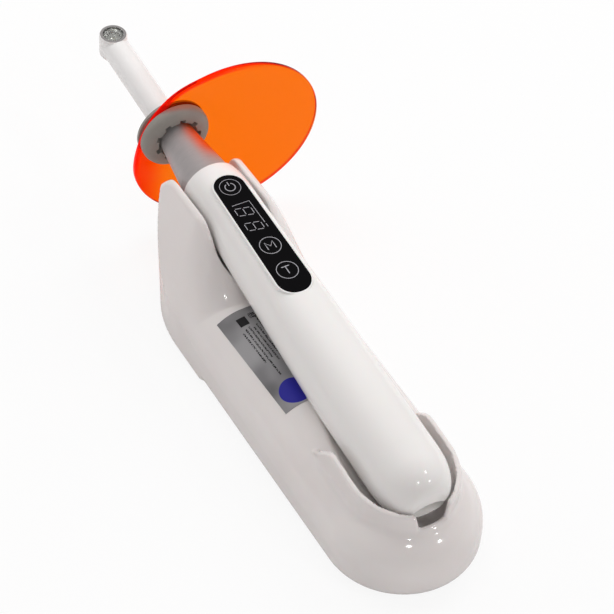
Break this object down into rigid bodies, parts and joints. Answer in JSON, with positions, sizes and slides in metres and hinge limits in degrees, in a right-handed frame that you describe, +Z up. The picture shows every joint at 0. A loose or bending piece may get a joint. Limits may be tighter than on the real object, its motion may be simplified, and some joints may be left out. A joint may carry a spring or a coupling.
{
  "type": "dental curing light",
  "caption": "Cordless pen-type dental curing light with a turning head and a round orange eye shield, lying in its charging cradle.",
  "frame": {"origin": "middle of the cradle footprint, on the surface that its feet stand on", "axes": "+Y runs along the cradle toward the light head, +Z is up, +X lies across"},
  "size_m": [0.0841, 0.2409, 0.0752],
  "materials": {
    "white_shell": "glossy white moulded plastic",
    "white_tube": "glossy white moulded plastic",
    "cover_plastic": "matte light grey plastic",
    "black_panel": "gloss black panel",
    "grey_rubber": "matte grey rubber",
    "black_rubber": "matte black rubber",
    "orange_filter": "clear orange filter plastic",
    "neck_metal": "satin aluminium",
    "steel": "plain steel",
    "contact_metal": "gilt contact metal",
    "copper": "bare copper",
    "board_green": "green circuit board",
    "chip_yellow": "phosphor chip",
    "chrome": "bright plating",
    "clear_lens": "clear lens",
    "foil": "printed grey foil",
    "cell_wrap": "shrink wrap",
    "inner_plastic": "dark moulded plastic"
  },
  "bodies": {
    "cradle": {"base_shell": "white_shell", "bottom_cover": "cover_plastic", "rubber_feet": "black_rubber", "cover_screws": "steel", "charging_board": "board_green", "dc_socket": "inner_plastic", "socket_leads": "black_rubber", "contact_barrels": "steel", "label_foil": "foil"},
    "left_contact": {"contact_pin_left": "contact_metal"},
    "right_contact": {"contact_pin_right": "contact_metal"},
    "handpiece": {"handle_shell": "white_shell", "tail_insert": "cover_plastic", "panel_window": "black_panel", "display_module": "inner_plastic", "switch_domes": "steel", "main_board": "board_green", "inner_frame": "inner_plastic", "battery_cell": "cell_wrap", "charging_pads": "contact_metal", "neck_cone": "neck_metal", "spigot_seal": "black_rubber"},
    "power_button": {"key_power": "black_panel"},
    "mode_button": {"key_mode": "black_panel"},
    "time_button": {"key_time": "black_panel"},
    "light_head": {"head_tube": "white_tube", "swivel_clip": "steel", "heat_pipe": "copper", "head_leads": "black_rubber", "led_board": "copper", "led_chip": "chip_yellow", "reflector": "chrome", "lens": "clear_lens", "lens_ring": "chrome"},
    "eye_shield": {"shield_ring": "grey_rubber", "shield_disc": "orange_filter"}
  },
  "joints": [
    {"name": "handpiece_lift", "type": "slide", "parent": "cradle", "child": "handpiece", "axis": [0, 0, 1], "range_m": [0, 0.06]},
    {"name": "head_swivel", "type": "hinge", "parent": "handpiece", "child": "light_head", "pos_m": [0, 0.0978, 0.0501], "axis": [0, 0.9927, 0.1207], "range_deg": [-180, 180]},
    {"name": "shield_turn", "type": "hinge", "parent": "handpiece", "child": "eye_shield", "pos_m": [0, 0.0978, 0.0501], "axis": [0, 0.9927, 0.1207], "continuous": true},
    {"name": "power_press", "type": "slide", "parent": "handpiece", "child": "power_button", "axis": [0, 0.1207, -0.9927], "range_m": [0, 0.0004], "stiffness_N_per_m": 2000},
    {"name": "mode_press", "type": "slide", "parent": "handpiece", "child": "mode_button", "axis": [0, 0.1207, -0.9927], "range_m": [0, 0.0004], "stiffness_N_per_m": 2000},
    {"name": "time_press", "type": "slide", "parent": "handpiece", "child": "time_button", "axis": [0, 0.1207, -0.9927], "range_m": [0, 0.0004], "stiffness_N_per_m": 2000},
    {"name": "left_contact_press", "type": "slide", "parent": "cradle", "child": "left_contact", "axis": [0, 0, -1], "range_m": [0, 0.001], "stiffness_N_per_m": 600},
    {"name": "right_contact_press", "type": "slide", "parent": "cradle", "child": "right_contact", "axis": [0, 0, -1], "range_m": [0, 0.001], "stiffness_N_per_m": 600}
  ]
}
